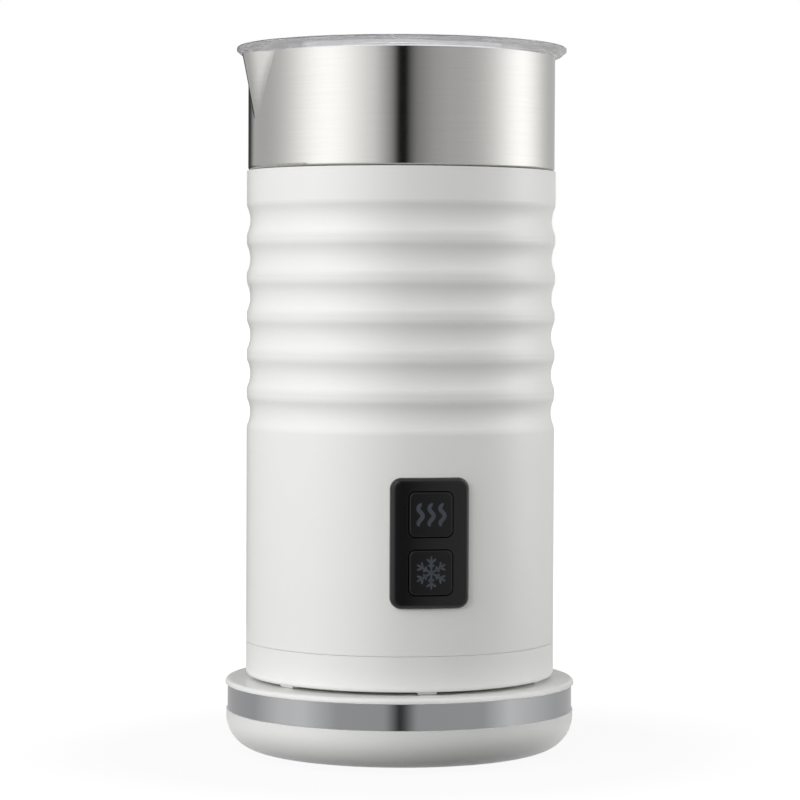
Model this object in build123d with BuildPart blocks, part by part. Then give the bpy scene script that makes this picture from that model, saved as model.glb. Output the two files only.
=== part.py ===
from build123d import *

import math
import os

# Cordless milk frother: a ribbed jug with a steel cup, standing on a round power base.
# Z is up and the floor is Z = 0. The button panel faces -Y and the cord gland faces +Y.
# All sizes are in millimetres.

# Clearances that every fit is worked out from
running_gap = 0.06
fit_gap = 0.05
thread_gap = 0.02
moving_gap = 0.3
seam_gap = 0.2

# Power base: bowl, trim band and top plate
base_margin = 5.7
bowl_height = 11.5
bowl_round = 9.6
base_wall = 2.2
band_recess = 0.35
band_wall = 0.7
band_height = 7.45
plate_overhang = 0.3
plate_rim = 1.5
plate_edge_round = 1.2
plate_thickness = 2.2

# Feet and screws of the base
foot_radius = 5.0
foot_height = 1.0
foot_recess = 0.6
foot_inset = 5.0
foot_edge = 0.3
corner_count = 4
base_pillar_radius = 4.8
base_pillar_inset = 2.4
base_pillar_rise = 1.2
plate_pillar_radius = 3.4
counterbore_depth = 6.0

# Plastic screws, one size throughout
screw_radius = 1.5
screw_head_radius = 2.9
screw_head_height = 2.2
screw_bite = 4.5
socket_radius = 1.3
socket_depth = 1.2

# Cord gland at the back of the bowl
cord_radius = 2.4
gland_neck_radius = 3.2
gland_flange_radius = 3.9
gland_flange = 1.6
gland_set_back = 3.9
gland_neck_length = 4.6
gland_height = 6.1
gland_boss_radius = 5.5
wire_slot_width = 5.0
wire_slot_height = 4.0

# Round connector between the base and the jug
tower_radius = 12.9
tower_height = 6.6
tower_edge = 1.0
connector_flange_radius = 17.0
connector_flange = 2.0
connector_root_radius = 12.0
connector_root = 6.5
seat_ring_wall = 2.0
ring_slot_inner = 6.2
ring_slot_outer = 8.8
pin_hole_radius = 2.6
slot_floor = 0.7
contact_wall = 0.7
contact_length = 5.0
jug_pin_radius = 1.5
jug_ring_inner = 6.9
jug_ring_outer = 7.7
jug_contact_drop = 6.0
jug_contact_rise = 2.0
socket_wall = 3.0
socket_roof = 4.8
socket_flange = 3.0

# Jug: overall sizes, measured up from the underside of its bottom cover
dock_gap = 0.95
body_radius = 45.0
shoulder_height = 146.95
steel_band_height = 32.9

# Bottom cover and outer sleeve
cover_height = 10.05
cover_edge_round = 1.4
cover_seam = 0.1
cover_floor = 2.2
cover_wall = 1.8
spigot_height = 4.0
cover_side_wall = 2.4
cover_boss_radius = 4.6
cover_boss_height = 6.2
cover_counterbore = 4.0
pad_count = 6
pad_radial = 3.0
pad_width = 5.4
pad_inset = 1.2
pad_round = 0.5
sleeve_wall = 2.6
groove_count = 6
groove_pitch = 11.16
groove_width = 8.2
groove_depth = 1.02
groove_top_strip = 10.3
ridge_round = 3.6
sleeve_seal_height = 4.0
sleeve_seal_drop = 6.0

# Steel cup with its pouring spout
steel_wall = 0.8
steel_recess = 0.35
cup_air_gap = 1.0
cup_corner = 7.0
shoulder_crease = 1.0
shoulder_round = 0.9
spout_turn = 80.0
spout_reach = 3.6
spout_height = 19.2
spout_half_width = 13.5
spout_foot_half_width = 2.0
spout_sections = 5
spout_steps = 12
spout_sink = 0.05

# Spindle that the whisk turns on
spindle_radius = 2.5
spindle_length = 19.7
spindle_tip = 1.2
spindle_flange_radius = 7.0
spindle_flange = 0.8

# Heater under the cup
diffuser_thickness = 3.0
motor_opening_radius = 16.0
heater_tube_radius = 3.2
heater_gap = 0.7
heater_seat = 0.6
heater_sweep = 300.0
terminal_radius = 1.5
terminal_length = 4.5
thermostat_radius = 6.0
thermostat_height = 4.0

# Chassis, motor and magnetic drive
chassis_thickness = 3.0
chassis_clearance = 2.9
standoff_height = 8.0
standoff_radius = 2.7
standoff_inset = 0.7
pillar_count = 3
pillar_radius = 3.6
pillar_inset = 4.8
motor_radius = 14.0
motor_length = 28.0
motor_boss_radius = 5.0
motor_boss = 2.0
motor_can_wall = 1.2
motor_cap = 3.0
motor_screw_ring = 9.0
motor_screw_count = 2
bush_radius = 2.4
bush_length = 3.4
shaft_radius = 1.15
shaft_tail = 1.5
shaft_set_back = 1.0
armature_radius = 10.0
armature_length = 18.0
carrier_radius = 13.5
carrier_height = 7.2
carrier_gap = 1.4
magnet_count = 4
magnet_ring = 7.6
drive_magnet_radius = 3.2
drive_magnet_height = 4.0

# Circuit boards
board_thickness = 1.6
board_clearance = 7.4
board_post_height = 13.4
board_post_radius = 2.4
board_edge_gap = 2.6
board_screw_radius = 1.0
relay_size = (12.0, 18.0, 14.0)
relay_offset = 26.0
capacitor_radius = 6.0
capacitor_height = 12.0
capacitor_offset = 26.0
wiring_hole_radius = 8.0
board_screw_head = 1.9
board_screw_head_height = 1.2
board_screw_length = 6.0

# Button panel
panel_height_above = 41.8
panel_side = 1.9
panel_end = 1.4
panel_corner = 3.2
panel_proud = 1.8
panel_edge_round = 1.65
housing_side_gap = 1.0
housing_end_gap = 0.35
housing_corner = 1.6
housing_depth = 7.6
housing_wall = 1.5
housing_front = 2.1
button_width = 12.2
button_height = 12.5
button_corner = 1.8
button_spacing = 3.7
button_proud = 0.3
button_lip = 0.7
button_flange = 1.2
button_stem_radius = 2.0
button_edge_round = 0.45
button_travel = 0.8
switch_board_thickness = 1.2
switch_size = 6.0
switch_height = 1.2
plunger_radius = 1.7
plunger_height = 0.5

# Lid with its seal
lid_overhang = 3.0
lid_rise = 2.6
lid_edge_drop = 1.1
lid_under_inset = 1.8
lid_wall = 2.4
plug_clearance = 2.2
plug_depth = 8.0
plug_lead = 1.4
dish_round = 2.0
dish_draft = 0.6
knob_radius = 10.0
knob_waist = 7.5
knob_drop = 0.5
knob_round = 1.0
knob_lip = 1.4
seal_groove_depth = 0.9
seal_height = 2.8
seal_drop = 2.3
seal_core = 0.6
seal_fin = 0.8

# Whisk
whisk_lift = 0.4
whisk_radius = 12.6
whisk_rim_lip = 0.35
whisk_groove_gap = 0.15
hub_radius = 4.6
hub_cap = 2.6
hub_round = 2.0
hub_top_round = 1.5
whisk_magnet_radius = 2.5
whisk_magnet_height = 2.5
coil_stand_out = 1.4
coil_radius = 2.3
coil_wire_radius = 0.4
coil_turns = 30
coil_sweep = 350.0
arcs_per_turn = 4
gap_samples_per_turn = 48

# Levels worked out from the sizes above
bowl_bottom_z = foot_height
bowl_floor_z = bowl_bottom_z + base_wall
bowl_top_z = bowl_bottom_z + bowl_height
band_top_z = bowl_top_z + band_height
plate_top_z = band_top_z + plate_rim
plate_under_z = plate_top_z - plate_thickness
jug_bottom_z = plate_top_z + dock_gap
cover_floor_z = jug_bottom_z + cover_floor
seam_z = jug_bottom_z + cover_height
sleeve_bottom_z = seam_z + cover_seam
shoulder_z = jug_bottom_z + shoulder_height
sleeve_top_z = shoulder_z - seam_gap
rim_z = shoulder_z + steel_band_height
board_z = cover_floor_z + board_post_height
board_top_z = board_z + board_thickness
motor_cap_z = board_top_z + board_clearance
motor_bottom_z = motor_cap_z + motor_cap
chassis_z = motor_bottom_z + motor_length
chassis_top_z = chassis_z + chassis_thickness
diffuser_z = chassis_top_z + standoff_height
cup_bottom_z = diffuser_z + diffuser_thickness
cup_floor_z = cup_bottom_z + steel_wall
panel_z = jug_bottom_z + panel_height_above

# Radii worked out from the sizes above
base_radius = body_radius + base_margin
plate_radius = base_radius + plate_overhang
band_radius = base_radius - band_recess
skirt_radius = band_radius - band_wall - fit_gap
sleeve_bore = body_radius - sleeve_wall
cup_radius = sleeve_bore - cup_air_gap
steel_band_radius = body_radius - steel_recess
steel_band_bore = steel_band_radius - steel_wall
spigot_radius = sleeve_bore - seam_gap
cover_bore = spigot_radius - cover_wall
diffuser_radius = cup_radius - cup_corner
standoff_ring = diffuser_radius - standoff_radius - standoff_inset
pillar_ring = cover_bore - pillar_radius - (pillar_inset - cover_wall)
chassis_radius = sleeve_bore - chassis_clearance
face_radius = body_radius + panel_proud
lid_radius = body_radius + lid_overhang
heater_ring_radius = standoff_ring - standoff_radius - heater_gap - heater_tube_radius
screw_hole_radius = screw_radius + seam_gap
base_corner_ring = base_radius - bowl_round - base_pillar_radius - base_pillar_inset
foot_ring = base_radius - bowl_round - foot_radius - foot_inset

# Button panel and whisk sizes that follow from what they hold
button_pitch = button_height + button_spacing
flange_width = button_width + 2 * button_lip
flange_height = button_height + 2 * button_lip
housing_width = flange_width + 2 * (housing_side_gap + housing_wall)
housing_height = button_pitch + flange_height + 2 * (housing_end_gap + housing_wall)
panel_width = housing_width + 2 * panel_side
panel_height = housing_height + 2 * panel_end
coil_ring_radius = whisk_radius + coil_stand_out
groove_size = coil_radius + coil_wire_radius + whisk_groove_gap
whisk_thickness = 2 * (groove_size + whisk_rim_lip)

# Angles of the three-fold patterns: pillars have one at the back, posts have one at the front
pillar_angle = 90.0
post_angle = 270.0
foot_angle = 180.0 / corner_count
base_screw_angle = foot_angle / 2
spout_angle = post_angle - spout_turn


def save(part, name):
    part.label = name
    export_step(part, f"parts/{name}.step")


os.makedirs("parts", exist_ok=True)


# Base bowl: rounded shell with screw pillars, a seat ring for the connector and a gland boss
gland_z = bowl_bottom_z + gland_height
gland_seat_y = base_radius - gland_set_back
gland_inner_y = gland_seat_y - gland_neck_length
bowl_inner = base_radius - base_wall
base_pillar_top_z = bowl_top_z + base_pillar_rise
seat_ring_top_z = plate_under_z - connector_flange
seat_ring_radius = connector_flange_radius - seam_gap
root_z = bowl_bottom_z + base_wall / 2
with BuildPart() as base_bowl:
    with BuildSketch(Plane.XZ.offset(-gland_inner_y)):
        with Locations((0, gland_z)):
            Circle(gland_boss_radius)
    extrude(amount=gland_inner_y - base_radius)
    with BuildSketch(Plane.XZ):
        with BuildLine():
            FilletPolyline(
                (0, bowl_bottom_z),
                (base_radius, bowl_bottom_z),
                (base_radius, bowl_top_z),
                (0, bowl_top_z),
                radius=[0, bowl_round, 0, 0],
                close=True,
            )
        make_face()
    revolve(axis=Axis.Z, mode=Mode.INTERSECT)
    with BuildSketch(Plane.XZ):
        with BuildLine():
            FilletPolyline(
                (0, bowl_bottom_z),
                (base_radius, bowl_bottom_z),
                (base_radius, bowl_top_z),
                (bowl_inner, bowl_top_z),
                (bowl_inner, bowl_floor_z),
                (0, bowl_floor_z),
                radius=[0, bowl_round, 0, 0, bowl_round - base_wall, 0],
                close=True,
            )
        make_face()
    revolve(axis=Axis.Z)
    with BuildSketch(Plane.XY.offset(root_z)):
        with PolarLocations(base_corner_ring, corner_count, start_angle=base_screw_angle):
            Circle(base_pillar_radius)
    extrude(amount=base_pillar_top_z - root_z)
    with BuildSketch(Plane.XY.offset(root_z)):
        Circle(seat_ring_radius)
        Circle(seat_ring_radius - seat_ring_wall, mode=Mode.SUBTRACT)
    extrude(amount=seat_ring_top_z - root_z)
    with BuildSketch(Plane.XY.offset(bowl_floor_z)):
        with Locations((0, seat_ring_radius - seat_ring_wall / 2)):
            Rectangle(wire_slot_width, 2 * seat_ring_wall)
    extrude(amount=wire_slot_height, mode=Mode.SUBTRACT)
    with BuildSketch(Plane.XY.offset(bowl_bottom_z)):
        with PolarLocations(base_corner_ring, corner_count, start_angle=base_screw_angle):
            Circle(screw_hole_radius)
    extrude(amount=base_pillar_top_z - bowl_bottom_z, mode=Mode.SUBTRACT)
    with BuildSketch(Plane.XY.offset(bowl_bottom_z)):
        with PolarLocations(base_corner_ring, corner_count, start_angle=base_screw_angle):
            Circle(screw_head_radius + moving_gap)
    extrude(amount=counterbore_depth, mode=Mode.SUBTRACT)
    with BuildSketch(Plane.XY.offset(bowl_bottom_z)):
        with PolarLocations(foot_ring, corner_count, start_angle=foot_angle):
            Circle(foot_radius + fit_gap)
    extrude(amount=foot_recess, mode=Mode.SUBTRACT)
    with BuildSketch(Plane.XZ.offset(-gland_inner_y)):
        with Locations((0, gland_z)):
            Circle(gland_neck_radius + fit_gap)
    extrude(amount=gland_inner_y - base_radius, mode=Mode.SUBTRACT)
    with BuildSketch(Plane.XZ.offset(-gland_seat_y)):
        with Locations((0, gland_z)):
            Circle(gland_flange_radius + seam_gap)
    extrude(amount=gland_seat_y - base_radius, mode=Mode.SUBTRACT)
save(base_bowl.part, "base_bowl")

# Rubber feet set into the bowl
with BuildPart() as base_feet:
    with BuildSketch():
        with PolarLocations(foot_ring, corner_count, start_angle=foot_angle):
            Circle(foot_radius)
    extrude(amount=foot_height + foot_recess)
    fillet(base_feet.edges().group_by(Axis.Z)[0], foot_edge)
save(base_feet.part, "base_feet")

# Rubber gland bush, bored for the cord
with BuildPart() as cord_gland:
    with BuildSketch(Plane.XZ.offset(-gland_inner_y + gland_flange)):
        with Locations((0, gland_z)):
            Circle(gland_flange_radius - moving_gap)
    extrude(amount=-gland_flange)
    with BuildSketch(Plane.XZ.offset(-gland_inner_y)):
        with Locations((0, gland_z)):
            Circle(gland_neck_radius)
    extrude(amount=-gland_neck_length)
    with BuildSketch(Plane.XZ.offset(-gland_seat_y)):
        with Locations((0, gland_z)):
            Circle(gland_flange_radius)
    extrude(amount=-gland_flange)
    fillet(cord_gland.edges().group_by(Axis.Y)[-1], foot_edge)
    with BuildSketch(Plane.XZ.offset(-gland_inner_y + gland_flange)):
        with Locations((0, gland_z)):
            Circle(cord_radius)
    extrude(amount=-gland_neck_length - 2 * gland_flange, mode=Mode.SUBTRACT)
save(cord_gland.part, "cord_gland")

# Bright trim band between the bowl and the plate
with BuildPart() as base_band:
    with BuildSketch(Plane.XY.offset(bowl_top_z)):
        Circle(band_radius)
        Circle(band_radius - band_wall, mode=Mode.SUBTRACT)
    extrude(amount=band_height)
save(base_band.part, "base_band")

# Top plate of the base, with a skirt behind the band and pillars for the screws
skirt_inner = skirt_radius - base_wall
tower_hole_radius = tower_radius + seam_gap
with BuildPart() as base_plate:
    with BuildSketch(Plane.XZ):
        with BuildLine():
            FilletPolyline(
                (tower_hole_radius, plate_under_z),
                (skirt_inner, plate_under_z),
                (skirt_inner, bowl_top_z),
                (skirt_radius, bowl_top_z),
                (skirt_radius, band_top_z),
                (plate_radius, band_top_z),
                (plate_radius, plate_top_z),
                (tower_hole_radius, plate_top_z),
                radius=[0, plate_edge_round, 0, 0, 0, seam_gap, plate_edge_round, moving_gap],
                close=True,
            )
        make_face()
    revolve(axis=Axis.Z)
    with BuildSketch(Plane.XY.offset(base_pillar_top_z)):
        with PolarLocations(base_corner_ring, corner_count, start_angle=base_screw_angle):
            Circle(plate_pillar_radius)
    extrude(amount=plate_top_z - plate_thickness / 2 - base_pillar_top_z)
    with BuildSketch(Plane.XY.offset(base_pillar_top_z)):
        with PolarLocations(base_corner_ring, corner_count, start_angle=base_screw_angle):
            Circle(screw_radius + thread_gap)
    extrude(amount=plate_under_z - base_pillar_top_z, mode=Mode.SUBTRACT)
save(base_plate.part, "base_plate")

# Screws that close the base from below
base_screw_seat_z = bowl_bottom_z + counterbore_depth
with BuildPart() as base_screws:
    with BuildSketch(Plane.XY.offset(base_screw_seat_z - screw_head_height)):
        with PolarLocations(base_corner_ring, corner_count, start_angle=base_screw_angle):
            Circle(screw_head_radius)
    extrude(amount=screw_head_height)
    with BuildSketch(Plane.XY.offset(base_screw_seat_z)):
        with PolarLocations(base_corner_ring, corner_count, start_angle=base_screw_angle):
            Circle(screw_radius)
    extrude(amount=base_pillar_top_z + screw_bite - base_screw_seat_z)
    with BuildSketch(Plane.XY.offset(base_screw_seat_z - screw_head_height)):
        with PolarLocations(base_corner_ring, corner_count, start_angle=base_screw_angle):
            RegularPolygon(socket_radius, 6)
    extrude(amount=socket_depth, mode=Mode.SUBTRACT)
save(base_screws.part, "base_screws")

# Base half of the round connector: a tower with a ring slot and a pin hole
slot_floor_z = plate_under_z + slot_floor
tower_top_z = plate_top_z + tower_height
with BuildPart() as base_connector:
    with BuildSketch(Plane.XZ):
        with BuildLine():
            FilletPolyline(
                (0, seat_ring_top_z - connector_root),
                (connector_root_radius, seat_ring_top_z - connector_root),
                (connector_root_radius, seat_ring_top_z),
                (connector_flange_radius, seat_ring_top_z),
                (connector_flange_radius, plate_under_z),
                (tower_radius, plate_under_z),
                (tower_radius, tower_top_z),
                (ring_slot_outer, tower_top_z),
                (ring_slot_outer, slot_floor_z),
                (ring_slot_inner, slot_floor_z),
                (ring_slot_inner, tower_top_z),
                (pin_hole_radius, tower_top_z),
                (pin_hole_radius, slot_floor_z),
                (0, slot_floor_z),
                radius=[0, 0, 0, 0, 0, 0, tower_edge, 0, 0, 0, 0, 0, 0, 0],
                close=True,
            )
        make_face()
    revolve(axis=Axis.Z)
save(base_connector.part, "base_connector")

# Brass contacts of the base: a ring and a sleeve for the pin
with BuildPart() as base_contacts:
    with BuildSketch(Plane.XY.offset(slot_floor_z)):
        Circle(ring_slot_outer - fit_gap)
        Circle(ring_slot_outer - fit_gap - contact_wall, mode=Mode.SUBTRACT)
        Circle(pin_hole_radius - fit_gap)
        Circle(pin_hole_radius - fit_gap - contact_wall, mode=Mode.SUBTRACT)
    extrude(amount=contact_length)
save(base_contacts.part, "base_contacts")

# Bottom cover of the jug: floor, side wall, spigot, screw bosses, board posts and pads
socket_radius_inside = tower_radius + 2 * moving_gap
socket_radius_outside = socket_radius_inside + socket_wall
cover_hole_radius = socket_radius_outside + seam_gap
spigot_top_z = seam_z + spigot_height
cover_boss_top_z = jug_bottom_z + cover_boss_height
cover_side_bore = body_radius - cover_side_wall
spigot_root_z = seam_z - cover_side_wall
pad_ring = body_radius - cover_edge_round - pad_inset - pad_radial / 2
with BuildPart() as bottom_cover:
    with BuildSketch(Plane.XZ):
        with BuildLine():
            FilletPolyline(
                (cover_hole_radius, jug_bottom_z),
                (body_radius, jug_bottom_z),
                (body_radius, seam_z),
                (spigot_radius, seam_z),
                (spigot_radius, spigot_top_z),
                (cover_bore, spigot_top_z),
                (cover_bore, spigot_root_z),
                (cover_side_bore, spigot_root_z),
                (cover_side_bore, cover_floor_z),
                (cover_hole_radius, cover_floor_z),
                radius=[0, cover_edge_round, cover_seam, 0, moving_gap, 0, 0, 0, seam_gap, 0],
                close=True,
            )
        make_face()
    revolve(axis=Axis.Z)
    with BuildSketch(Plane.XY.offset(cover_floor_z - cover_floor / 2)):
        with PolarLocations(pillar_ring, pillar_count, start_angle=pillar_angle):
            Circle(cover_boss_radius)
    extrude(amount=cover_boss_top_z - cover_floor_z + cover_floor / 2)
    with BuildSketch(Plane.XY.offset(cover_floor_z - cover_floor / 2)):
        with PolarLocations(pillar_ring, pillar_count, start_angle=post_angle):
            Circle(board_post_radius)
    extrude(amount=board_z - cover_floor_z + cover_floor / 2)
    with BuildSketch(Plane.XY.offset(board_z)):
        with PolarLocations(pillar_ring, pillar_count, start_angle=post_angle):
            Circle(board_screw_radius + thread_gap)
    extrude(amount=-board_screw_length, mode=Mode.SUBTRACT)
    with BuildSketch(Plane.XY.offset(jug_bottom_z)):
        with PolarLocations(pillar_ring, pillar_count, start_angle=pillar_angle):
            Circle(screw_hole_radius)
    extrude(amount=cover_boss_height, mode=Mode.SUBTRACT)
    with BuildSketch(Plane.XY.offset(jug_bottom_z)):
        with PolarLocations(pillar_ring, pillar_count, start_angle=pillar_angle):
            Circle(screw_head_radius + moving_gap)
    extrude(amount=cover_counterbore, mode=Mode.SUBTRACT)
    with BuildSketch(Plane.XY.offset(jug_bottom_z)):
        with PolarLocations(pad_ring, pad_count, start_angle=post_angle):
            Rectangle(pad_radial, pad_width)
    extrude(amount=fit_gap - dock_gap)
    fillet(bottom_cover.edges().group_by(Axis.Z)[0], pad_round)
save(bottom_cover.part, "bottom_cover")

# Screws that hold the cover to the chassis pillars
cover_screw_seat_z = jug_bottom_z + cover_counterbore
with BuildPart() as cover_screws:
    with BuildSketch(Plane.XY.offset(cover_screw_seat_z - screw_head_height)):
        with PolarLocations(pillar_ring, pillar_count, start_angle=pillar_angle):
            Circle(screw_head_radius)
    extrude(amount=screw_head_height)
    with BuildSketch(Plane.XY.offset(cover_screw_seat_z)):
        with PolarLocations(pillar_ring, pillar_count, start_angle=pillar_angle):
            Circle(screw_radius)
    extrude(amount=cover_boss_top_z + screw_bite - cover_screw_seat_z)
    with BuildSketch(Plane.XY.offset(cover_screw_seat_z - screw_head_height)):
        with PolarLocations(pillar_ring, pillar_count, start_angle=pillar_angle):
            RegularPolygon(socket_radius, 6)
    extrude(amount=socket_depth, mode=Mode.SUBTRACT)
save(cover_screws.part, "cover_screws")

# Jug half of the connector: a socket cup that drops over the tower
socket_mouth_z = jug_bottom_z + fit_gap
socket_roof_z = tower_top_z + 2 * moving_gap
socket_top_z = socket_roof_z + socket_roof
socket_flange_top_z = cover_floor_z + connector_flange
with BuildPart() as jug_connector:
    with BuildSketch(Plane.XZ):
        with BuildLine():
            Polyline(
                (0, socket_roof_z),
                (socket_radius_inside, socket_roof_z),
                (socket_radius_inside, socket_mouth_z),
                (socket_radius_outside, socket_mouth_z),
                (socket_radius_outside, cover_floor_z),
                (socket_radius_outside + socket_flange, cover_floor_z),
                (socket_radius_outside + socket_flange, socket_flange_top_z),
                (socket_radius_outside, socket_flange_top_z),
                (socket_radius_outside, socket_top_z),
                (0, socket_top_z),
                close=True,
            )
        make_face()
    revolve(axis=Axis.Z)
    with BuildSketch(Plane.XY.offset(socket_roof_z)):
        Circle(jug_pin_radius + thread_gap)
    extrude(amount=socket_roof, mode=Mode.SUBTRACT)
    with BuildSketch(Plane.XY.offset(socket_roof_z)):
        Circle(jug_ring_outer + thread_gap)
        Circle(jug_ring_inner - thread_gap, mode=Mode.SUBTRACT)
    extrude(amount=jug_contact_rise, mode=Mode.SUBTRACT)
save(jug_connector.part, "jug_connector")

# Brass contacts of the jug: a centre pin and a ring blade
with BuildPart() as jug_contacts:
    with BuildSketch(Plane.XY.offset(socket_roof_z - jug_contact_drop)):
        Circle(jug_pin_radius)
    extrude(amount=jug_contact_drop + socket_roof + jug_contact_rise)
    with BuildSketch(Plane.XY.offset(socket_roof_z - jug_contact_drop)):
        Circle(jug_ring_outer)
        Circle(jug_ring_inner, mode=Mode.SUBTRACT)
    extrude(amount=jug_contact_drop + jug_contact_rise)
save(jug_contacts.part, "jug_contacts")

# Power board on its posts, with room for the chassis pillars
board_radius = cover_bore - board_edge_gap
with BuildPart() as power_board:
    with BuildSketch(Plane.XY.offset(board_z)):
        Circle(board_radius)
        Circle(wiring_hole_radius, mode=Mode.SUBTRACT)
        with PolarLocations(pillar_ring, pillar_count, start_angle=pillar_angle):
            Circle(pillar_radius + 2 * moving_gap, mode=Mode.SUBTRACT)
        with PolarLocations(pillar_ring, pillar_count, start_angle=post_angle):
            Circle(board_screw_radius + fit_gap, mode=Mode.SUBTRACT)
    extrude(amount=board_thickness)
save(power_board.part, "power_board")

# Small screws of the power board
with BuildPart() as board_screws:
    with BuildSketch(Plane.XY.offset(board_top_z)):
        with PolarLocations(pillar_ring, pillar_count, start_angle=post_angle):
            Circle(board_screw_head)
    extrude(amount=board_screw_head_height)
    with BuildSketch(Plane.XY.offset(board_top_z)):
        with PolarLocations(pillar_ring, pillar_count, start_angle=post_angle):
            Circle(board_screw_radius)
    extrude(amount=-board_screw_length)
save(board_screws.part, "board_screws")

# Relay and filter capacitor on the board
with BuildPart() as relay:
    with BuildSketch(Plane.XY.offset(board_top_z)):
        with Locations((relay_offset, 0)):
            Rectangle(relay_size[0], relay_size[1])
    extrude(amount=relay_size[2])
    fillet(relay.edges().filter_by(Axis.Z), seam_gap)
save(relay.part, "relay")

with BuildPart() as filter_capacitor:
    with BuildSketch(Plane.XY.offset(board_top_z)):
        with Locations((-capacitor_offset, 0)):
            Circle(capacitor_radius)
    extrude(amount=capacitor_height)
    fillet(filter_capacitor.edges().group_by(Axis.Z)[-1], hub_top_round / 2)
save(filter_capacitor.part, "filter_capacitor")

# Steel cup: drawn bottom, shoulder over the sleeve, and a bare band that swells into a pouring spout
spout_foot_z = rim_z - spout_height
spout_edge_turn = spout_half_width / steel_band_radius
spout_turns = [spout_edge_turn * (2 * k / spout_steps - 1) for k in range(spout_steps + 1)]
with BuildPart() as cup:
    for inset, skin_mode in ((0, Mode.ADD), (steel_wall, Mode.SUBTRACT)):
        skin_radius = steel_band_radius - inset
        with BuildSketch(Plane.XZ):
            with BuildLine():
                FilletPolyline(
                    (0, cup_bottom_z + inset),
                    (cup_radius - inset, cup_bottom_z + inset),
                    (cup_radius - inset, shoulder_z + inset),
                    (skin_radius, shoulder_z + inset),
                    (skin_radius, rim_z),
                    (0, rim_z),
                    radius=[0, cup_corner - inset, shoulder_crease + inset, shoulder_round - inset, 0, 0],
                    close=True,
                )
            make_face()
        revolve(axis=Axis.Z, mode=skin_mode)
        # The spout's wedge starts sunk in the wall and comes out of it, so no two faces coincide
        for i in range(spout_sections + 1):
            share = i / spout_sections
            half_width = spout_foot_half_width + share * (spout_half_width - spout_foot_half_width)
            outline = []
            for turn in spout_turns:
                off_ridge = min(abs(turn) * steel_band_radius / half_width, 1)
                swell = share * (spout_reach + spout_sink) * (1 + math.cos(math.pi * off_ridge)) / 2
                reach = skin_radius - spout_sink + swell
                outline.append((reach * math.cos(turn), reach * math.sin(turn)))
            level = spout_foot_z + share * spout_height
            with BuildSketch(Plane.XY.offset(level).rotated((0, 0, spout_angle))):
                with BuildLine():
                    Spline(*outline)
                    Polyline(outline[-1], (0, 0), outline[0])
                make_face()
        loft(mode=skin_mode)
save(cup.part, "cup")

# Spindle that the whisk turns on, fixed to the floor of the cup
spindle_base_z = cup_floor_z + spindle_flange
spindle_top_z = spindle_base_z + spindle_length
with BuildPart() as spindle_post:
    with BuildSketch(Plane.XZ):
        with BuildLine():
            FilletPolyline(
                (0, cup_floor_z),
                (spindle_flange_radius, cup_floor_z),
                (spindle_flange_radius, spindle_base_z),
                (spindle_radius, spindle_base_z),
                (spindle_radius, spindle_top_z),
                (0, spindle_top_z),
                radius=[0, 0, spindle_flange / 2, 0, spindle_tip, 0],
                close=True,
            )
        make_face()
    revolve(axis=Axis.Z)
save(spindle_post.part, "spindle_post")

# Outer sleeve: ribbed casing with a window for the button panel
groove_last_z = shoulder_z - groove_top_strip - groove_width / 2
groove_first_z = groove_last_z - (groove_count - 1) * groove_pitch
window_width = housing_width + 2 * seam_gap
window_height = housing_height + 2 * seam_gap
with BuildPart() as outer_sleeve:
    with BuildSketch(Plane.XZ) as sleeve_profile:
        with BuildLine():
            previous_z = sleeve_bottom_z
            for i in range(groove_count):
                middle_z = groove_first_z + i * groove_pitch
                low_z = middle_z - groove_width / 2
                high_z = middle_z + groove_width / 2
                Line((body_radius, previous_z), (body_radius, low_z))
                ThreePointArc(
                    (body_radius, low_z),
                    (body_radius - groove_depth, middle_z),
                    (body_radius, high_z),
                )
                previous_z = high_z
            Polyline(
                (body_radius, previous_z),
                (body_radius, sleeve_top_z),
                (sleeve_bore, sleeve_top_z),
                (sleeve_bore, sleeve_bottom_z),
                (body_radius, sleeve_bottom_z),
            )
        make_face()
        ridges = sleeve_profile.vertices().filter_by(
            lambda v: v.X > body_radius - fit_gap
            and groove_first_z - groove_width < v.Y < groove_last_z + groove_width
        )
        fillet(ridges, ridge_round)
    revolve(axis=Axis.Z)
    with BuildSketch(Plane.XZ.offset(face_radius)):
        with Locations((0, panel_z)):
            RectangleRounded(window_width, window_height, housing_corner + seam_gap)
    extrude(amount=-housing_depth - panel_proud, mode=Mode.SUBTRACT)
save(outer_sleeve.part, "outer_sleeve")

# Seal ring between the cup and the sleeve
sleeve_seal_z = sleeve_top_z - sleeve_seal_drop
with BuildPart() as sleeve_seal:
    with BuildSketch(Plane.XY.offset(sleeve_seal_z)):
        Circle(sleeve_bore - fit_gap)
        Circle(cup_radius + fit_gap, mode=Mode.SUBTRACT)
    extrude(amount=sleeve_seal_height)
save(sleeve_seal.part, "sleeve_seal")

# Diffuser plate under the cup, grooved for the heating tube
heater_z = diffuser_z - heater_tube_radius + heater_seat
tap_depth = diffuser_thickness - cup_air_gap / 2
with BuildPart() as diffuser_plate:
    with BuildSketch(Plane.XY.offset(diffuser_z)):
        Circle(diffuser_radius)
        Circle(motor_opening_radius, mode=Mode.SUBTRACT)
    extrude(amount=diffuser_thickness)
    with BuildSketch(Plane.XZ):
        with Locations((heater_ring_radius, heater_z)):
            Circle(heater_tube_radius + fit_gap)
    revolve(axis=Axis.Z, mode=Mode.SUBTRACT)
    with BuildSketch(Plane.XY.offset(diffuser_z)):
        with PolarLocations(standoff_ring, pillar_count, start_angle=post_angle):
            Circle(screw_radius + thread_gap)
    extrude(amount=tap_depth, mode=Mode.SUBTRACT)
save(diffuser_plate.part, "diffuser_plate")

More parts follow.
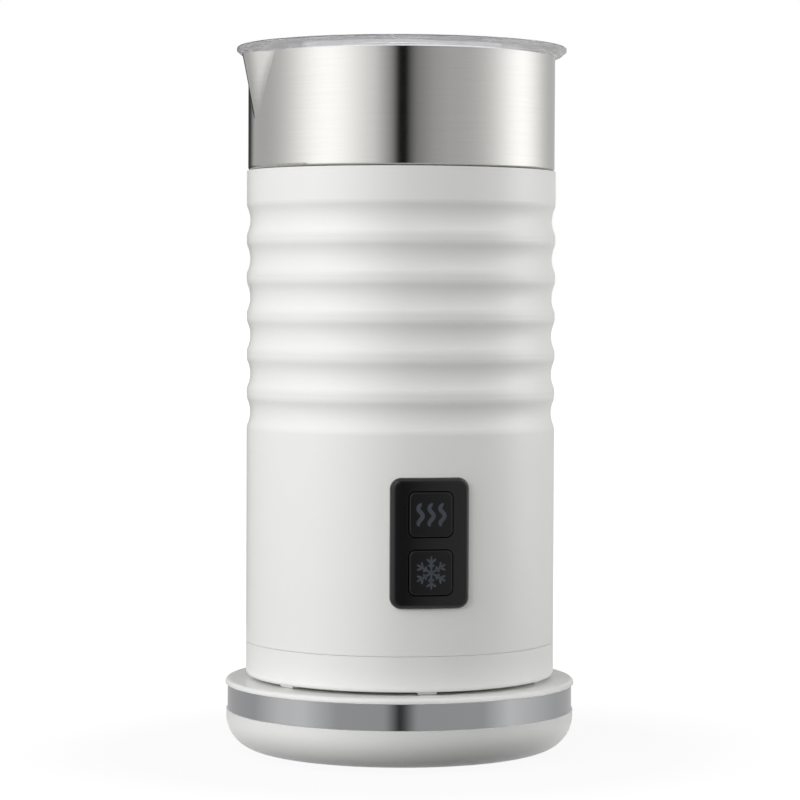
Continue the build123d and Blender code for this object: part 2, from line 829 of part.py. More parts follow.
# Heating element: an open ring of tube with a terminal at each end
heater_start = math.radians(pillar_angle + (360 - heater_sweep) / 2)
heater_plane = Plane(
    origin=(0, 0, 0),
    x_dir=(math.cos(heater_start), math.sin(heater_start), 0),
    z_dir=(math.sin(heater_start), -math.cos(heater_start), 0),
)
with BuildPart() as heating_element:
    with BuildSketch(heater_plane):
        with Locations((heater_ring_radius, heater_z)):
            Circle(heater_tube_radius)
    revolve(axis=Axis.Z, revolution_arc=heater_sweep)
    with BuildSketch(Plane.XY.offset(heater_z)):
        for end in (1, -1):
            angle = math.radians(pillar_angle) + end * (heater_start - math.radians(pillar_angle))
            angle += end * terminal_radius / heater_ring_radius
            with Locations((heater_ring_radius * math.cos(angle), heater_ring_radius * math.sin(angle))):
                Circle(terminal_radius)
    extrude(amount=-terminal_length)
save(heating_element.part, "heating_element")

# Thermostat pressed against the diffuser in the gap of the ring
with BuildPart() as thermostat:
    with BuildSketch(Plane.XY.offset(diffuser_z - thermostat_height)):
        with Locations((0, heater_ring_radius)):
            Circle(thermostat_radius)
    extrude(amount=thermostat_height)
    fillet(thermostat.edges().group_by(Axis.Z)[0], tower_edge)
save(thermostat.part, "thermostat")

# Chassis: disc with standoffs up to the diffuser and pillars down to the cover
housing_back = body_radius - housing_depth
switch_board_back = housing_back - switch_board_thickness
motor_hole_radius = motor_boss_radius + fit_gap
notch_depth = chassis_radius - switch_board_back + 2 * moving_gap
with BuildPart() as chassis:
    with BuildSketch(Plane.XY.offset(chassis_z)):
        Circle(chassis_radius)
        Circle(motor_hole_radius, mode=Mode.SUBTRACT)
        with Locations((0, notch_depth / 2 - chassis_radius)):
            Rectangle(housing_width + 4 * moving_gap, notch_depth, mode=Mode.SUBTRACT)
    extrude(amount=chassis_thickness)
    with BuildSketch(Plane.XY.offset(chassis_z)):
        with PolarLocations(standoff_ring, pillar_count, start_angle=post_angle):
            Circle(standoff_radius)
    extrude(amount=chassis_thickness + standoff_height)
    with BuildSketch(Plane.XY.offset(chassis_top_z)):
        with PolarLocations(pillar_ring, pillar_count, start_angle=pillar_angle):
            Circle(pillar_radius)
    extrude(amount=cover_boss_top_z - chassis_top_z)
    with BuildSketch(Plane.XY.offset(chassis_z)):
        with PolarLocations(standoff_ring, pillar_count, start_angle=post_angle):
            Circle(screw_hole_radius)
        with PolarLocations(motor_screw_ring, motor_screw_count):
            Circle(screw_hole_radius)
    extrude(amount=chassis_thickness + standoff_height, mode=Mode.SUBTRACT)
    with BuildSketch(Plane.XY.offset(cover_boss_top_z)):
        with PolarLocations(pillar_ring, pillar_count, start_angle=pillar_angle):
            Circle(screw_radius + thread_gap)
    extrude(amount=screw_bite + moving_gap, mode=Mode.SUBTRACT)
save(chassis.part, "chassis")

# Screws from the chassis into the diffuser
chassis_screw_length = chassis_thickness + standoff_height + tap_depth - moving_gap
with BuildPart() as chassis_screws:
    with BuildSketch(Plane.XY.offset(chassis_z - screw_head_height)):
        with PolarLocations(standoff_ring, pillar_count, start_angle=post_angle):
            Circle(screw_head_radius)
    extrude(amount=screw_head_height)
    with BuildSketch(Plane.XY.offset(chassis_z)):
        with PolarLocations(standoff_ring, pillar_count, start_angle=post_angle):
            Circle(screw_radius)
    extrude(amount=chassis_screw_length)
    with BuildSketch(Plane.XY.offset(chassis_z - screw_head_height)):
        with PolarLocations(standoff_ring, pillar_count, start_angle=post_angle):
            RegularPolygon(socket_radius, 6)
    extrude(amount=socket_depth, mode=Mode.SUBTRACT)
save(chassis_screws.part, "chassis_screws")

# Motor can: drawn shell with a boss for the upper bush
motor_boss_top_z = chassis_z + motor_boss
motor_roof_z = motor_boss_top_z - bush_length
bush_bore = bush_radius + fit_gap
with BuildPart() as motor_can:
    with BuildSketch(Plane.XZ):
        with BuildLine():
            FilletPolyline(
                (motor_radius - motor_can_wall, motor_bottom_z),
                (motor_radius, motor_bottom_z),
                (motor_radius, chassis_z),
                (motor_boss_radius, chassis_z),
                (motor_boss_radius, motor_boss_top_z),
                (bush_bore, motor_boss_top_z),
                (bush_bore, motor_roof_z),
                (motor_radius - motor_can_wall, motor_roof_z),
                radius=[0, 0, motor_can_wall, 0, seam_gap, 0, 0, 0],
                close=True,
            )
        make_face()
    revolve(axis=Axis.Z)
    with BuildSketch(Plane.XY.offset(motor_roof_z)):
        with PolarLocations(motor_screw_ring, motor_screw_count):
            Circle(screw_radius + thread_gap)
    extrude(amount=chassis_z - motor_roof_z, mode=Mode.SUBTRACT)
save(motor_can.part, "motor_can")

# Motor end cap with a spigot inside the can and a seat for the lower bush
with BuildPart() as motor_end_cap:
    with BuildSketch(Plane.XZ):
        with BuildLine():
            FilletPolyline(
                (bush_bore, motor_cap_z),
                (motor_radius, motor_cap_z),
                (motor_radius, motor_bottom_z),
                (motor_radius - motor_can_wall - fit_gap, motor_bottom_z),
                (motor_radius - motor_can_wall - fit_gap, motor_bottom_z + motor_boss),
                (motor_boss_radius, motor_bottom_z + motor_boss),
                (bush_bore, motor_bottom_z + motor_boss),
                radius=[0, seam_gap, 0, 0, 0, 0, 0],
                close=True,
            )
        make_face()
    revolve(axis=Axis.Z)
save(motor_end_cap.part, "motor_end_cap")

# Bronze bushes that carry the motor shaft
with BuildPart() as motor_bushes:
    with BuildSketch(Plane.XY.offset(motor_roof_z)):
        Circle(bush_radius)
        Circle(shaft_radius + running_gap, mode=Mode.SUBTRACT)
    extrude(amount=bush_length)
    with BuildSketch(Plane.XY.offset(motor_cap_z)):
        Circle(bush_radius)
        Circle(shaft_radius + running_gap, mode=Mode.SUBTRACT)
    extrude(amount=bush_length)
save(motor_bushes.part, "motor_bushes")

# Screws that hang the motor from the chassis
motor_screw_length = chassis_top_z - motor_roof_z - seam_gap
with BuildPart() as motor_screws:
    with BuildSketch(Plane.XY.offset(chassis_top_z)):
        with PolarLocations(motor_screw_ring, motor_screw_count):
            Circle(screw_head_radius)
    extrude(amount=socket_depth + seam_gap)
    with BuildSketch(Plane.XY.offset(chassis_top_z)):
        with PolarLocations(motor_screw_ring, motor_screw_count):
            Circle(screw_radius)
    extrude(amount=-motor_screw_length)
save(motor_screws.part, "motor_screws")

# Motor shaft through both bushes up to the magnet carrier
carrier_top_z = cup_bottom_z - carrier_gap
carrier_z = carrier_top_z - carrier_height
shaft_bottom_z = motor_cap_z + shaft_tail
shaft_top_z = carrier_top_z - shaft_set_back
with BuildPart() as motor_shaft:
    with BuildSketch(Plane.XY.offset(shaft_bottom_z)):
        Circle(shaft_radius)
    extrude(amount=shaft_top_z - shaft_bottom_z)
    chamfer(motor_shaft.edges().filter_by(GeomType.CIRCLE), seam_gap)
save(motor_shaft.part, "motor_shaft")

# Armature on the shaft, inside the can
armature_z = (motor_roof_z + motor_bottom_z + motor_boss - armature_length) / 2
with BuildPart() as armature:
    with BuildSketch(Plane.XY.offset(armature_z)):
        Circle(armature_radius)
        Circle(shaft_radius + thread_gap, mode=Mode.SUBTRACT)
        with PolarLocations(armature_radius, 3, start_angle=pillar_angle):
            Rectangle(armature_radius, motor_boss, mode=Mode.SUBTRACT)
    extrude(amount=armature_length)
save(armature.part, "armature")

# Magnet carrier that spins under the cup
with BuildPart() as magnet_carrier:
    with BuildSketch(Plane.XY.offset(carrier_z)):
        Circle(carrier_radius)
        Circle(shaft_radius + thread_gap, mode=Mode.SUBTRACT)
    extrude(amount=carrier_height)
    rims = magnet_carrier.edges().filter_by(GeomType.CIRCLE).sort_by(SortBy.RADIUS)[-2:]
    fillet(rims, tower_edge / 2)
    with BuildSketch(Plane.XY.offset(carrier_top_z)):
        with PolarLocations(magnet_ring, magnet_count):
            Circle(drive_magnet_radius + fit_gap)
    extrude(amount=-drive_magnet_height, mode=Mode.SUBTRACT)
save(magnet_carrier.part, "magnet_carrier")

with BuildPart() as drive_magnets:
    with BuildSketch(Plane.XY.offset(carrier_top_z)):
        with PolarLocations(magnet_ring, magnet_count):
            Circle(drive_magnet_radius)
    extrude(amount=-drive_magnet_height)
save(drive_magnets.part, "drive_magnets")

# Panel housing behind the sleeve: a box whose front wall guides the buttons
opening_width = button_width + 2 * moving_gap
opening_height = button_height + 2 * moving_gap
flange_seat = body_radius - housing_front
button_levels = (panel_z + button_pitch / 2, panel_z - button_pitch / 2)
with BuildPart() as panel_housing:
    with BuildSketch(Plane.XZ.offset(housing_back)):
        with Locations((0, panel_z)):
            RectangleRounded(housing_width, housing_height, housing_corner)
    extrude(amount=housing_depth)
    with BuildSketch(Plane.XY.offset(panel_z - housing_height)):
        Circle(body_radius)
    extrude(amount=2 * housing_height, mode=Mode.INTERSECT)
    with BuildSketch(Plane.XZ.offset(housing_back)):
        with Locations((0, panel_z)):
            Rectangle(housing_width - 2 * housing_wall, housing_height - 2 * housing_wall)
    extrude(amount=flange_seat - housing_back, mode=Mode.SUBTRACT)
    with BuildSketch(Plane.XZ.offset(flange_seat)):
        for level in button_levels:
            with Locations((0, level)):
                RectangleRounded(opening_width, opening_height, button_corner + moving_gap)
    extrude(amount=housing_depth, mode=Mode.SUBTRACT)
save(panel_housing.part, "panel_housing")

# Panel bezel: the curved black face plate, with a rounded edge and two button openings
with BuildPart() as panel_bezel:
    with BuildSketch(Plane.XZ.offset(flange_seat)):
        with Locations((0, panel_z)):
            RectangleRounded(panel_width, panel_height, panel_corner)
    extrude(amount=housing_depth)
    with BuildSketch(Plane.XY.offset(panel_z - panel_height)):
        Circle(face_radius)
        Circle(body_radius + fit_gap, mode=Mode.SUBTRACT)
    extrude(amount=2 * panel_height, mode=Mode.INTERSECT)
    fillet(panel_bezel.faces().sort_by(Axis.Y)[0].edges(), panel_edge_round)
    with BuildSketch(Plane.XZ.offset(flange_seat)):
        for level in button_levels:
            with Locations((0, level)):
                RectangleRounded(opening_width, opening_height, button_corner + moving_gap)
    extrude(amount=housing_depth, mode=Mode.SUBTRACT)
save(panel_bezel.part, "panel_bezel")

# Switch board that closes the housing from behind
with BuildPart() as switch_board:
    with BuildSketch(Plane.XZ.offset(housing_back)):
        with Locations((0, panel_z)):
            RectangleRounded(housing_width, housing_height, housing_corner)
    extrude(amount=-switch_board_thickness)
save(switch_board.part, "switch_board")

# Two tact switches in front of the board
with BuildPart() as tact_switches:
    with BuildSketch(Plane.XZ.offset(housing_back)):
        for level in button_levels:
            with Locations((0, level)):
                Rectangle(switch_size, switch_size)
    extrude(amount=switch_height)
    with BuildSketch(Plane.XZ.offset(housing_back)):
        for level in button_levels:
            with Locations((0, level)):
                Circle(plunger_radius)
    extrude(amount=switch_height + plunger_height)
save(tact_switches.part, "tact_switches")

# Buttons: curved caps with a flange behind the housing wall and a stem towards the switch
stem_end = housing_back + switch_height + plunger_height + button_travel + moving_gap
flange_front = flange_seat - seam_gap
for button_name, level in zip(("hot_button", "cold_button"), button_levels):
    with BuildPart() as button:
        with BuildSketch(Plane.XZ.offset(flange_front - button_flange)):
            with Locations((0, level)):
                RectangleRounded(button_width, button_height, button_corner)
        extrude(amount=housing_depth)
        with BuildSketch(Plane.XY.offset(level - button_height)):
            Circle(face_radius + button_proud)
        extrude(amount=2 * button_height, mode=Mode.INTERSECT)
        fillet(button.faces().sort_by(Axis.Y)[0].edges(), button_edge_round)
        with BuildSketch(Plane.XZ.offset(flange_front)):
            with Locations((0, level)):
                RectangleRounded(flange_width, flange_height, button_corner)
        extrude(amount=-button_flange)
        with BuildSketch(Plane.XZ.offset(flange_front)):
            with Locations((0, level)):
                Circle(button_stem_radius)
        extrude(amount=stem_end - flange_front)
    save(button.part, button_name)

# Lid: dished plug with an overhanging rounded flange and a hollow finger knob
lid_under_z = rim_z + moving_gap
lid_top_z = lid_under_z + lid_rise
plug_radius = steel_band_bore - plug_clearance
plug_bottom_z = lid_under_z - plug_depth
dish_floor_z = plug_bottom_z + lid_wall
dish_radius = plug_radius - lid_wall
seal_top_z = lid_under_z - seal_drop
seal_low_z = seal_top_z - seal_height
groove_radius = plug_radius - seal_groove_depth
knob_top_z = lid_top_z - knob_drop
with BuildPart() as lid:
    with BuildSketch(Plane.XZ):
        with BuildLine():
            FilletPolyline(
                (0, knob_top_z - lid_wall),
                (knob_waist - lid_wall, knob_top_z - lid_wall),
                (knob_waist - lid_wall, plug_bottom_z),
                (plug_radius, plug_bottom_z),
                (plug_radius, seal_low_z),
                (groove_radius, seal_low_z),
                (groove_radius, seal_top_z),
                (plug_radius, seal_top_z),
                (plug_radius, lid_under_z),
                (lid_radius - lid_under_inset, lid_under_z),
                (lid_radius, lid_top_z - lid_edge_drop),
                (lid_radius, lid_top_z),
                (dish_radius + dish_draft, lid_top_z),
                (dish_radius, dish_floor_z),
                (knob_waist, dish_floor_z),
                (knob_waist, knob_top_z - knob_lip),
                (knob_radius, knob_top_z - knob_lip),
                (knob_radius, knob_top_z),
                (0, knob_top_z),
                radius=[
                    0, knob_round, moving_gap, plug_lead, 0, 0, 0, 0, moving_gap, knob_round,
                    moving_gap, lid_edge_drop / 2, knob_round, dish_round, dish_round,
                    knob_round, moving_gap, knob_round, 0,
                ],
                close=True,
            )
        make_face()
    revolve(axis=Axis.Z)
save(lid.part, "lid")

# Lid seal: a ring with two fins, sat in the groove of the plug
seal_inner = groove_radius + fit_gap
seal_body = plug_radius + seal_core
seal_tip = steel_band_bore - moving_gap
seal_bottom_z = seal_low_z + fit_gap
seal_high_z = seal_top_z - fit_gap
with BuildPart() as lid_seal:
    with BuildSketch(Plane.XZ):
        with BuildLine():
            FilletPolyline(
                (seal_inner, seal_bottom_z),
                (seal_body, seal_bottom_z),
                (seal_tip, seal_bottom_z + seal_fin / 2),
                (seal_tip, seal_bottom_z + seal_fin),
                (seal_body, seal_bottom_z + seal_fin),
                (seal_body, seal_high_z - seal_fin),
                (seal_tip, seal_high_z - seal_fin),
                (seal_tip, seal_high_z - seal_fin / 2),
                (seal_body, seal_high_z),
                (seal_inner, seal_high_z),
                radius=0,
                close=True,
            )
        make_face()
    revolve(axis=Axis.Z)
save(lid_seal.part, "lid_seal")

# Whisk hub: disc grooved for the coil, with a tall bored sleeve over the spindle
whisk_z = spindle_base_z + whisk_lift
whisk_top_z = whisk_z + whisk_thickness
whisk_mid_z = whisk_z + whisk_thickness / 2
hub_bore = spindle_radius + running_gap
bore_top_z = spindle_top_z + moving_gap
hub_top_z = bore_top_z + hub_cap
with BuildPart() as whisk_hub:
    with BuildSketch(Plane.XZ):
        with BuildLine():
            FilletPolyline(
                (hub_bore, whisk_z),
                (whisk_radius, whisk_z),
                (whisk_radius, whisk_top_z),
                (hub_radius, whisk_top_z),
                (hub_radius, hub_top_z),
                (0, hub_top_z),
                (0, bore_top_z),
                (hub_bore, bore_top_z),
                radius=[0, seam_gap, seam_gap, hub_round, hub_top_round, 0, 0, 0],
                close=True,
            )
        make_face()
    revolve(axis=Axis.Z)
    with BuildSketch(Plane.XZ):
        with Locations((coil_ring_radius, whisk_mid_z)):
            Circle(groove_size)
    revolve(axis=Axis.Z, mode=Mode.SUBTRACT)
    with BuildSketch(Plane.XY.offset(whisk_z)):
        with PolarLocations(magnet_ring, magnet_count):
            Circle(whisk_magnet_radius + fit_gap)
    extrude(amount=whisk_magnet_height, mode=Mode.SUBTRACT)
save(whisk_hub.part, "whisk_hub")

with BuildPart() as whisk_magnets:
    with BuildSketch(Plane.XY.offset(whisk_z)):
        with PolarLocations(magnet_ring, magnet_count):
            Circle(whisk_magnet_radius)
    extrude(amount=whisk_magnet_height)
save(whisk_magnets.part, "whisk_magnets")


# Point and direction of the coil wire, a fraction t of the way round the hub
def coil_point(t):
    around = math.radians(coil_sweep) * t
    wound = 2 * math.pi * coil_turns * t
    reach = coil_ring_radius + coil_radius * math.cos(wound)
    return Vector(
        reach * math.cos(around),
        reach * math.sin(around),
        whisk_mid_z + coil_radius * math.sin(wound),
    )


def coil_direction(t):
    around = math.radians(coil_sweep) * t
    wound = 2 * math.pi * coil_turns * t
    turn_rate = math.radians(coil_sweep)
    wind_rate = 2 * math.pi * coil_turns
    reach = coil_ring_radius + coil_radius * math.cos(wound)
    reach_rate = -coil_radius * math.sin(wound) * wind_rate
    return Vector(
        reach_rate * math.cos(around) - reach * math.sin(around) * turn_rate,
        reach_rate * math.sin(around) + reach * math.cos(around) * turn_rate,
        coil_radius * math.cos(wound) * wind_rate,
    ).normalized()


# Whisk coil: one wire wound round a ring, made of pairs of tangent arcs
with BuildPart() as whisk_coil:
    with BuildLine() as coil_path:
        arc_count = coil_turns * arcs_per_turn
        for i in range(arc_count):
            start, finish = coil_point(i / arc_count), coil_point((i + 1) / arc_count)
            leave, arrive = coil_direction(i / arc_count), coil_direction((i + 1) / arc_count)
            span = finish - start
            bend = 2 * (1 - leave.dot(arrive))
            pull = span.dot(leave + arrive)
            reach = (math.sqrt(pull * pull + bend * span.dot(span)) - pull) / bend
            middle = (start + finish + (leave - arrive) * reach) / 2
            through = finish - arrive * reach - start - leave * reach
            TangentArc(start, middle, tangent=leave)
            TangentArc(middle, finish, tangent=through)
    with BuildSketch(Plane(origin=coil_point(0), z_dir=coil_direction(0))):
        Circle(coil_wire_radius)
    sweep()
save(whisk_coil.part, "whisk_coil")

# The coil's least gap to itself, and its volume against wire section times length
sample_count = coil_turns * gap_samples_per_turn
samples = [coil_point(i / sample_count) for i in range(sample_count + 1)]
own_gap = min(
    (samples[i] - samples[j]).length
    for i in range(len(samples))
    for j in range(i + gap_samples_per_turn // 2, min(i + 2 * gap_samples_per_turn, len(samples)))
)
end_gap = (samples[0] - samples[-1]).length
coil_length = sum((b - a).length for a, b in zip(samples, samples[1:]))
print("coil gap to itself", round(min(own_gap, end_gap) - 2 * coil_wire_radius, 3))
wire_section = math.pi * coil_wire_radius**2
print("coil volume", round(whisk_coil.part.volume, 2), "of", round(wire_section * coil_length, 2))
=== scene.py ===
import bpy
import math
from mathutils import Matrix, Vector


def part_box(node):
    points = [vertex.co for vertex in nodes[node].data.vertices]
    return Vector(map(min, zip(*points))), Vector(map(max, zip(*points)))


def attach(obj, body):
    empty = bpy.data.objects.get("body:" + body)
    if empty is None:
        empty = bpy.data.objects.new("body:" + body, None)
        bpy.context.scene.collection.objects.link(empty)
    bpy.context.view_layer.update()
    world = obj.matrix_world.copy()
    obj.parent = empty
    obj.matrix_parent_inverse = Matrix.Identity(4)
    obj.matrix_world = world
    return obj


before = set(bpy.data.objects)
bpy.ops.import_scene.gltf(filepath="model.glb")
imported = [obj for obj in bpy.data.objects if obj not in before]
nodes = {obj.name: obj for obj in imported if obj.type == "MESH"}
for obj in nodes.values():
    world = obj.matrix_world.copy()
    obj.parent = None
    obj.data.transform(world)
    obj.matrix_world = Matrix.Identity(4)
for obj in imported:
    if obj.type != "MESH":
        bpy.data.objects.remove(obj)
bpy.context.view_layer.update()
bpy.ops.object.select_all(action="DESELECT")

# Base bowl and top plate: two injection mouldings in white ABS, screwed together from below.
# Their satin skin comes from a finely eroded mould, so light spreads softly over them.
# The mould's grain of about 0.1 mm is drawn coarser, so that it shows.
mm = 0.001
mould_grit = 0.6 * mm
mould_depth = 0.1 * mm
cloud_size = 30 * mm


def linear(hex_code):
    channels = [int(hex_code[i:i + 2], 16) / 255 for i in (1, 3, 5)]
    toned = [c / 12.92 if c <= 0.04045 else ((c + 0.055) / 1.055) ** 2.4 for c in channels]
    return (*toned, 1.0)


def node(tree, kind, inputs=None, **settings):
    made = tree.nodes.new("ShaderNode" + kind)
    for name, value in settings.items():
        setattr(made, name, value)
    for socket, value in (inputs or {}).items():
        if isinstance(value, bpy.types.NodeSocket):
            tree.links.new(value, made.inputs[socket])
        else:
            made.inputs[socket].default_value = value
    return made


def finish(name):
    material = bpy.data.materials.new(name)
    material.use_nodes = True
    material.node_tree.nodes.clear()
    return material, material.node_tree


def dress(material, *names):
    for name in names:
        nodes[name].material_slots[0].material = material


white_abs, tree = finish("satin_white_abs")
place = node(tree, "TexCoord").outputs["Object"]
mould_grain = node(tree, "TexNoise", {"Vector": place, "Scale": 1 / mould_grit, "Detail": 3.0})
mould_bump = node(tree, "Bump", {
    "Height": mould_grain.outputs["Fac"], "Strength": 0.05, "Distance": mould_depth})
cloudiness = node(tree, "TexNoise", {"Vector": place, "Scale": 1 / cloud_size, "Detail": 2.0})
white_tone = node(tree, "MixRGB", {
    "Fac": cloudiness.outputs["Fac"], "Color1": linear("#EDEDEB"), "Color2": linear("#F2F2F0")})
white_gloss = node(tree, "MapRange", {
    "Value": mould_grain.outputs["Fac"], "To Min": 0.27, "To Max": 0.37})
skin = node(tree, "BsdfPrincipled", {
    "Base Color": white_tone.outputs["Color"], "Roughness": white_gloss.outputs["Result"],
    "Normal": mould_bump.outputs["Normal"], "IOR": 1.52})
node(tree, "OutputMaterial", {"Surface": skin.outputs["BSDF"]})
dress(white_abs, "base_bowl", "base_plate")

# Trim band: a rolled strip of bright stainless steel, let in between bowl and plate.
# It is polished, so it mirrors the room in soft grey stripes.
# Wiping leaves faint smears about 12 mm across.
smear_size = 12 * mm
polished, tree = finish("polished_trim_steel")
place = node(tree, "TexCoord").outputs["Object"]
smear = node(tree, "TexNoise", {"Vector": place, "Scale": 1 / smear_size, "Detail": 3.0})
smear_gloss = node(tree, "MapRange", {"Value": smear.outputs["Fac"], "To Min": 0.05, "To Max": 0.1})
skin = node(tree, "BsdfPrincipled", {
    "Base Color": linear("#BFC0C2"), "Metallic": 1.0, "Roughness": smear_gloss.outputs["Result"]})
node(tree, "OutputMaterial", {"Surface": skin.outputs["BSDF"]})
dress(polished, "base_band")

# Feet and cord gland: moulded black rubber, pressed into the bowl.
# Rubber is matt, with a grey bloom in patches of about 2 mm.
bloom_size = 2 * mm
bloom_depth = 0.1 * mm
rubber, tree = finish("moulded_black_rubber")
place = node(tree, "TexCoord").outputs["Object"]
bloom = node(tree, "TexNoise", {"Vector": place, "Scale": 1 / bloom_size, "Detail": 4.0})
rubber_tone = node(tree, "MixRGB", {
    "Fac": bloom.outputs["Fac"], "Color1": linear("#242424"), "Color2": linear("#353535")})
rubber_bump = node(tree, "Bump", {
    "Height": bloom.outputs["Fac"], "Strength": 0.2, "Distance": bloom_depth})
skin = node(tree, "BsdfPrincipled", {
    "Base Color": rubber_tone.outputs["Color"], "Roughness": 0.8, "Normal": rubber_bump.outputs["Normal"]})
node(tree, "OutputMaterial", {"Surface": skin.outputs["BSDF"]})
dress(rubber, "base_feet", "cord_gland")

# Screws: zinc-plated steel, cold headed, self-tapping into the pillars and plates that they hold.
# Plating has a faint cloudy sheen, in clouds of about 1 mm.
plating_cloud = 1 * mm
zinc, tree = finish("zinc_plated_steel")
place = node(tree, "TexCoord").outputs["Object"]
plating = node(tree, "TexNoise", {"Vector": place, "Scale": 1 / plating_cloud, "Detail": 4.0})
plating_gloss = node(tree, "MapRange", {"Value": plating.outputs["Fac"], "To Min": 0.25, "To Max": 0.45})
skin = node(tree, "BsdfPrincipled", {
    "Base Color": linear("#B9BCC0"), "Metallic": 1.0, "Roughness": plating_gloss.outputs["Result"]})
node(tree, "OutputMaterial", {"Surface": skin.outputs["BSDF"]})
dress(zinc, "base_screws", "cover_screws", "chassis_screws", "motor_screws", "board_screws")

# Round connector: black phenolic mouldings, a tower on the base and a socket in the jug.
# The other small black mouldings are of the same stuff. It is dull, with a fine grain of filler,
# drawn at 0.5 mm, coarser than the real one, so that it shows.
filler_grit = 0.5 * mm
filler_depth = 0.1 * mm
phenolic, tree = finish("black_phenolic_moulding")
place = node(tree, "TexCoord").outputs["Object"]
grit = node(tree, "TexNoise", {"Vector": place, "Scale": 1 / filler_grit, "Detail": 3.0})
grit_tone = node(tree, "MixRGB", {
    "Fac": grit.outputs["Fac"], "Color1": linear("#1B1B1C"), "Color2": linear("#262627")})
grit_bump = node(tree, "Bump", {
    "Height": grit.outputs["Fac"], "Strength": 0.15, "Distance": filler_depth})
skin = node(tree, "BsdfPrincipled", {
    "Base Color": grit_tone.outputs["Color"], "Roughness": 0.5, "Normal": grit_bump.outputs["Normal"]})
node(tree, "OutputMaterial", {"Surface": skin.outputs["BSDF"]})
dress(phenolic, "base_connector", "jug_connector", "motor_end_cap", "thermostat", "tact_switches",
      "panel_housing")

# Contacts and bushes: rings and a pin of drawn brass, pressed into both halves of the connector, and
# two bushes that carry the motor's shaft. Brass is bright with a warm tint, and tarnishes in clouds
# of about 3 mm.
tarnish_cloud = 3 * mm
brass, tree = finish("drawn_brass")
place = node(tree, "TexCoord").outputs["Object"]
tarnish = node(tree, "TexNoise", {"Vector": place, "Scale": 1 / tarnish_cloud, "Detail": 4.0})
brass_tone = node(tree, "MixRGB", {
    "Fac": tarnish.outputs["Fac"], "Color1": linear("#D9B565"), "Color2": linear("#B98F45")})
skin = node(tree, "BsdfPrincipled", {
    "Base Color": brass_tone.outputs["Color"], "Metallic": 1.0, "Roughness": 0.28})
node(tree, "OutputMaterial", {"Surface": skin.outputs["BSDF"]})
dress(brass, "base_contacts", "jug_contacts", "motor_bushes")

# Jug's bottom cover and outer sleeve: mouldings in the same satin white ABS as the base.
# The cover closes the sleeve from below, screwed to the chassis, and a fine seam shows where they meet.
dress(white_abs, "bottom_cover", "outer_sleeve")

# Steel cup: deep-drawn stainless, bare as a band above the sleeve, with a pinched pouring spout.
# It is brushed round the axis, so reflections stay sharp sideways and smear upright. The brush's
# lines, 20 mm long and a third of a millimetre wide, are coarser than the real ones, so that they show.
line_length = 20 * mm
line_slimness = 60.0
line_depth = 0.1 * mm
brushed, tree = finish("brushed_stainless")
place = node(tree, "TexCoord").outputs["Object"]
grain_place = node(tree, "Mapping", {"Vector": place, "Scale": (1.0, 1.0, line_slimness)})
brush = node(tree, "TexNoise", {
    "Vector": grain_place.outputs["Vector"], "Scale": 1 / line_length, "Detail": 5.0})
brush_gloss = node(tree, "MapRange", {"Value": brush.outputs["Fac"], "To Min": 0.13, "To Max": 0.17})
brush_bump = node(tree, "Bump", {
    "Height": brush.outputs["Fac"], "Strength": 0.05, "Distance": line_depth})
brush_tone = node(tree, "MixRGB", {
    "Fac": brush.outputs["Fac"], "Color1": linear("#C9C8C5"), "Color2": linear("#D1D0CD")})
round_axis = node(tree, "Tangent", direction_type="RADIAL", axis="Z")
skin = node(tree, "BsdfPrincipled", {
    "Base Color": brush_tone.outputs["Color"], "Metallic": 1.0, "Roughness": brush_gloss.outputs["Result"],
    "Anisotropic": 0.8, "Anisotropic Rotation": 0.25, "Tangent": round_axis.outputs["Tangent"],
    "Normal": brush_bump.outputs["Normal"]})
node(tree, "OutputMaterial", {"Surface": skin.outputs["BSDF"]})
dress(brushed, "cup", "spindle_post", "whisk_coil")

# Heater and motor: a drawn can, a bent tube and a turned shaft in plated steel, which looks mottled,
# and a diffuser plate of cast aluminium, which has a dull grainy skin. The tube lies in a groove of
# the plate under the cup, and the motor hangs from the chassis on screws.
mottle_size = 4 * mm
plated, tree = finish("nickel_plated_steel")
place = node(tree, "TexCoord").outputs["Object"]
mottle = node(tree, "TexNoise", {"Vector": place, "Scale": 1 / mottle_size, "Detail": 4.0})
plated_gloss = node(tree, "MapRange", {"Value": mottle.outputs["Fac"], "To Min": 0.22, "To Max": 0.4})
skin = node(tree, "BsdfPrincipled", {
    "Base Color": linear("#B4B2AC"), "Metallic": 1.0, "Roughness": plated_gloss.outputs["Result"]})
node(tree, "OutputMaterial", {"Surface": skin.outputs["BSDF"]})
dress(plated, "motor_can", "heating_element", "motor_shaft", "armature")

cast_grain = 1.5 * mm
cast_depth = 0.1 * mm
aluminium, tree = finish("cast_aluminium")
place = node(tree, "TexCoord").outputs["Object"]
cast = node(tree, "TexNoise", {"Vector": place, "Scale": 1 / cast_grain, "Detail": 5.0})
cast_bump = node(tree, "Bump", {"Height": cast.outputs["Fac"], "Strength": 0.2, "Distance": cast_depth})
skin = node(tree, "BsdfPrincipled", {
    "Base Color": linear("#C9CACC"), "Metallic": 1.0, "Roughness": 0.45,
    "Normal": cast_bump.outputs["Normal"]})
node(tree, "OutputMaterial", {"Surface": skin.outputs["BSDF"]})
dress(aluminium, "diffuser_plate")

